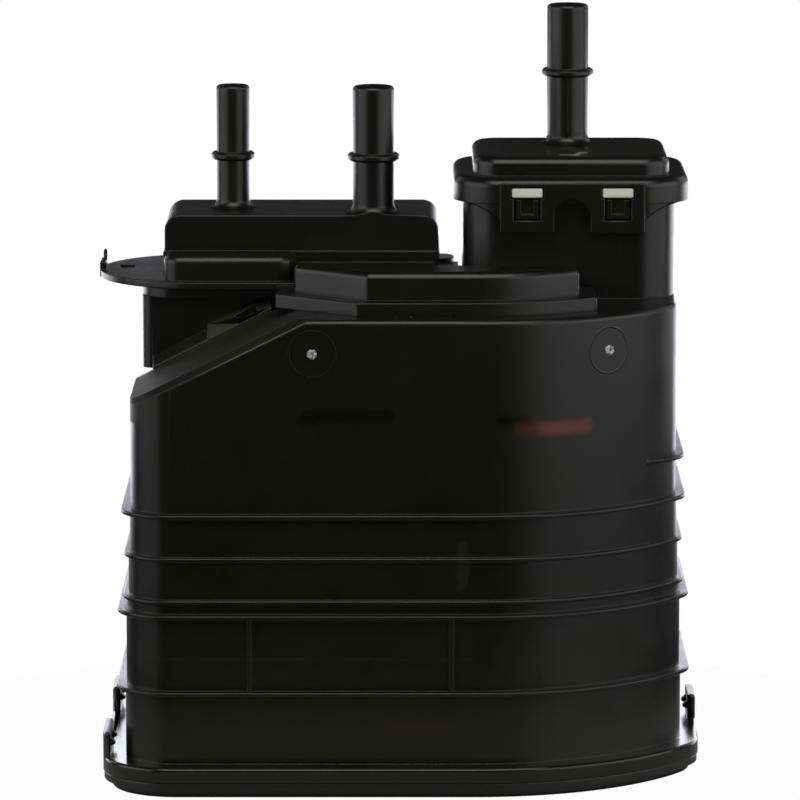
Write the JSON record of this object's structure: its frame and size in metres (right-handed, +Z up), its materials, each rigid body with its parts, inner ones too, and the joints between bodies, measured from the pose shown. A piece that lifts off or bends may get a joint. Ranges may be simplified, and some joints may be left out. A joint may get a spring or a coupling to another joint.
{
  "type": "charcoal canister",
  "caption": "Black moulded fuel-vapour charcoal canister with ribbed housing, welded base, ported top cover, side ear and a vent turret closed by a clipped cap.",
  "frame": {"origin": "centre of the bounding box in plan, on the underside of the base cover", "axes": "+X to the right seen from the front, +Y to the back, +Z up along the spigots"},
  "size_m": [0.172, 0.116, 0.2144],
  "materials": {
    "housing": "satin black moulded polyamide",
    "base_cover": "satin black moulded polyamide",
    "top_cover": "satin black moulded polyamide",
    "vent_cap": "satin black moulded polyamide",
    "rubber_seal": "flat black rubber",
    "white_frame": "natural off-white plastic",
    "filter_foam": "open grey foam",
    "carbon": "packed black carbon pellets",
    "felt": "pressed fibre felt",
    "inner_plastic": "satin black moulding",
    "spring_steel": "drawn spring wire"
  },
  "bodies": {
    "root": {"housing": "housing", "base_cover": "base_cover", "top_cover": "top_cover", "vent_cap": "vent_cap", "vent_cap_seal": "rubber_seal", "filter_frame": "white_frame", "vent_filter": "filter_foam", "main_carbon_bed": "carbon", "main_top_pad": "felt", "main_top_grid": "inner_plastic", "main_bottom_pad": "felt", "main_plate": "inner_plastic", "vent_carbon_bed": "carbon", "vent_top_pad": "felt", "vent_bottom_pad": "felt", "vent_plate": "inner_plastic", "main_spring_1": "spring_steel", "main_spring_2": "spring_steel", "main_spring_3": "spring_steel", "main_spring_4": "spring_steel", "vent_spring_1": "spring_steel", "vent_spring_2": "spring_steel"}
  },
  "joints": []
}
